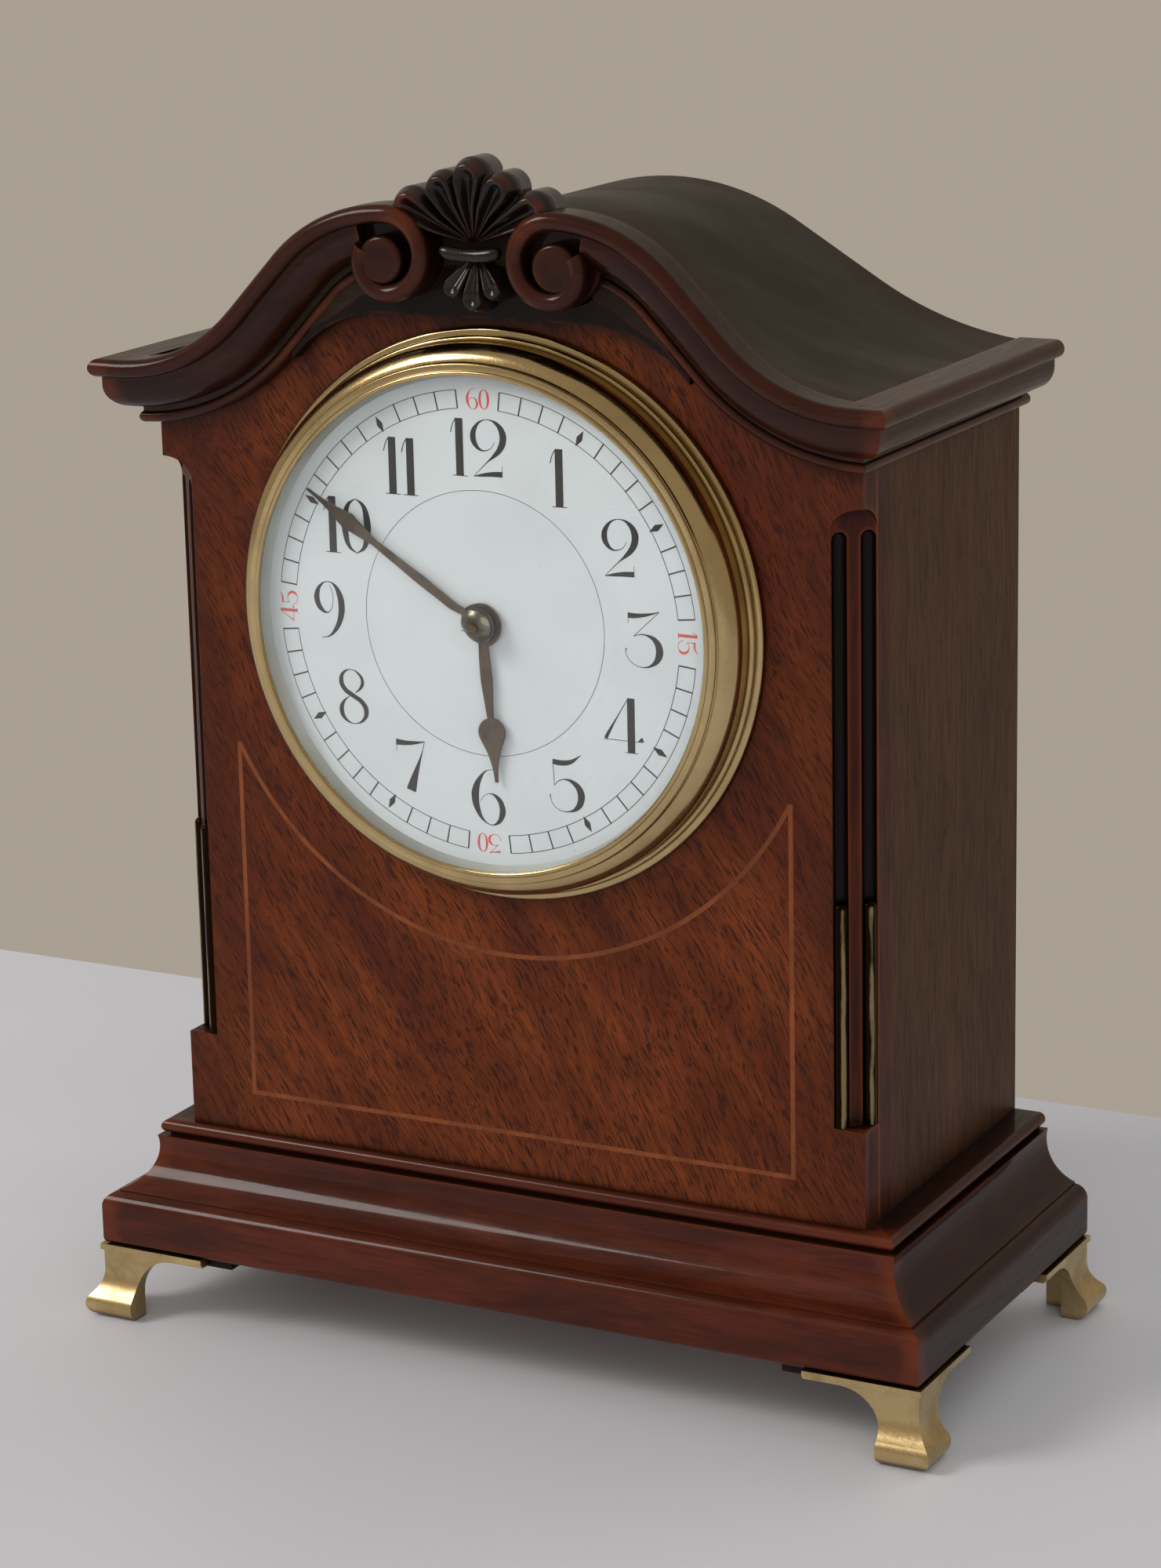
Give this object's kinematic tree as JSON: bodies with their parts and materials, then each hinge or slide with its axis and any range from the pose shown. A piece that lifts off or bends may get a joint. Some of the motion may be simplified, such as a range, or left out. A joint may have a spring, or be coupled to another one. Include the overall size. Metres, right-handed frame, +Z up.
{
  "type": "mantel clock",
  "caption": "Mantel clock in a shaped, inlaid wooden case with swan-neck cornice, shell crest, round glazed dial, brass bracket feet and a visible-from-behind spring movement.",
  "frame": {"origin": "centre of the footprint at the height of the feet's soles", "axes": "+Z up, -Y out of the dial towards the viewer, +X to the viewer's right"},
  "size_m": [0.1782, 0.0886, 0.2278],
  "materials": {
    "flamed_mahogany": "gloss",
    "plain_mahogany": "satin",
    "dark_moulding": "gloss",
    "ebonised": "satin",
    "boxwood": "gloss",
    "carcase_wood": "matt",
    "brass": "polished",
    "steel": "polished",
    "blued_steel": "polished",
    "bronzed_steel": "satin",
    "enamel": "gloss",
    "silvered": "satin",
    "glass": "clear"
  },
  "bodies": {
    "case": {"front_panel": "carcase_wood", "front_veneer": "flamed_mahogany", "stringing_inlay": "boxwood", "side_panel_left": "plain_mahogany", "side_panel_right": "plain_mahogany", "corner_post_left": "plain_mahogany", "corner_post_right": "plain_mahogany", "corner_reeds": "brass", "base_block": "carcase_wood", "base_moulding_front": "dark_moulding", "base_moulding_left": "dark_moulding", "base_moulding_right": "dark_moulding", "foot_blocks": "ebonised", "bracket_feet": "brass", "wood_screws": "brass", "roof_board": "plain_mahogany", "pediment_board": "ebonised", "cornice_front_left": "dark_moulding", "cornice_front_right": "dark_moulding", "cornice_side_left": "dark_moulding", "cornice_side_right": "dark_moulding", "shell_crest": "ebonised", "back_frame": "carcase_wood", "frame_hinge_leaves": "brass", "dial_drum": "brass", "bezel": "brass", "bezel_glass": "glass", "sight_ring": "silvered", "dial": "enamel", "front_plate": "brass", "back_plate": "brass", "plate_pillars": "brass", "plate_screws": "blued_steel", "click_spring": "blued_steel", "hairspring": "blued_steel", "platform": "brass", "balance_cock": "brass"},
    "rear_door": {"back_door": "carcase_wood", "door_hinge_leaves": "brass"},
    "latch": {"door_latch": "brass"},
    "minute_group": {"cannon_pinion": "brass", "minute_hand": "bronzed_steel", "hand_nut": "steel"},
    "hour_group": {"hour_wheel": "brass", "hour_hand": "bronzed_steel"},
    "minute_wheel_group": {"minute_wheel": "brass"},
    "setting_group": {"set_arbor": "brass"},
    "barrel_group": {"going_barrel": "brass", "mainspring": "steel"},
    "winding_group": {"barrel_arbor": "steel", "ratchet_wheel": "steel", "winding_key": "brass"},
    "click_group": {"click": "blued_steel"},
    "intermediate_group": {"intermediate_wheel": "brass"},
    "centre_group": {"centre_wheel": "brass"},
    "third_group": {"third_wheel": "brass"},
    "contrate_group": {"contrate_wheel": "brass"},
    "escape_group": {"escape_wheel": "brass"},
    "lever_group": {"pallet_lever": "steel"},
    "balance_group": {"balance_wheel": "brass"}
  },
  "joints": [
    {"name": "rear_door_swing", "type": "hinge", "parent": "case", "child": "rear_door", "pos_m": [0.04575, 0.0426, 0.135], "axis": [0, 0, -1], "range_deg": [0, 110]},
    {"name": "latch_turn", "type": "hinge", "parent": "rear_door", "child": "latch", "pos_m": [-0.04, 0.0413, 0.135], "axis": [0, 1, 0], "range_deg": [0, 90]},
    {"name": "minute_turn", "type": "hinge", "parent": "case", "child": "minute_group", "pos_m": [0, -0.0352, 0.1447], "axis": [0, 1, 0], "continuous": true},
    {"name": "hour_turn", "type": "hinge", "parent": "case", "child": "hour_group", "pos_m": [0, -0.0352, 0.1447], "axis": [0, 1, 0], "continuous": true},
    {"name": "minute_wheel_turn", "type": "hinge", "parent": "case", "child": "minute_wheel_group", "pos_m": [-0.01139, -0.0302, 0.14091], "axis": [0, 1, 0], "continuous": true},
    {"name": "setting_turn", "type": "hinge", "parent": "case", "child": "setting_group", "pos_m": [-0.0219, -0.0102, 0.1467], "axis": [0, 1, 0], "continuous": true},
    {"name": "barrel_turn", "type": "hinge", "parent": "case", "child": "barrel_group", "pos_m": [-0.008, -0.0162, 0.1262], "axis": [0, 1, 0], "continuous": true},
    {"name": "winding_turn", "type": "hinge", "parent": "case", "child": "winding_group", "pos_m": [-0.008, 0.0038, 0.1262], "axis": [0, 1, 0], "range_deg": [0, 1980]},
    {"name": "click_turn", "type": "hinge", "parent": "case", "child": "click_group", "pos_m": [0.00204, 0.0038, 0.13548], "axis": [0, 1, 0], "range_deg": [-4, 6]},
    {"name": "intermediate_turn", "type": "hinge", "parent": "case", "child": "intermediate_group", "pos_m": [0.01095, -0.0152, 0.13309], "axis": [0, 1, 0], "continuous": true},
    {"name": "centre_turn", "type": "hinge", "parent": "case", "child": "centre_group", "pos_m": [0, -0.0152, 0.1447], "axis": [0, 1, 0], "continuous": true},
    {"name": "third_turn", "type": "hinge", "parent": "case", "child": "third_group", "pos_m": [0.01247, -0.0152, 0.15447], "axis": [0, 1, 0], "continuous": true},
    {"name": "contrate_turn", "type": "hinge", "parent": "case", "child": "contrate_group", "pos_m": [0, -0.0152, 0.1609], "axis": [0, 1, 0], "continuous": true},
    {"name": "escape_turn", "type": "hinge", "parent": "case", "child": "escape_group", "pos_m": [0, -0.0176, 0.1727], "axis": [0, 0, 1], "continuous": true},
    {"name": "lever_swing", "type": "hinge", "parent": "case", "child": "lever_group", "pos_m": [0, -0.0118, 0.1747], "axis": [0, 0, 1], "range_deg": [-4, 4]},
    {"name": "balance_swing", "type": "hinge", "parent": "case", "child": "balance_group", "pos_m": [0, -0.0052, 0.1777], "axis": [0, 0, 1], "range_deg": [-135, 135], "stiffness_Nm_per_rad": 0.0000068}
  ],
  "couplings": [
    {"joint": "hour_turn", "follows": "minute_turn", "ratio": 0.083333},
    {"joint": "minute_wheel_turn", "follows": "minute_turn", "ratio": -0.33333},
    {"joint": "setting_turn", "follows": "minute_turn", "ratio": 1},
    {"joint": "centre_turn", "follows": "third_turn", "ratio": -0.1},
    {"joint": "intermediate_turn", "follows": "third_turn", "ratio": 0.016667},
    {"joint": "barrel_turn", "follows": "third_turn", "ratio": -0.002381},
    {"joint": "contrate_turn", "follows": "third_turn", "ratio": -7.5},
    {"joint": "escape_turn", "follows": "third_turn", "ratio": 60}
  ]
}
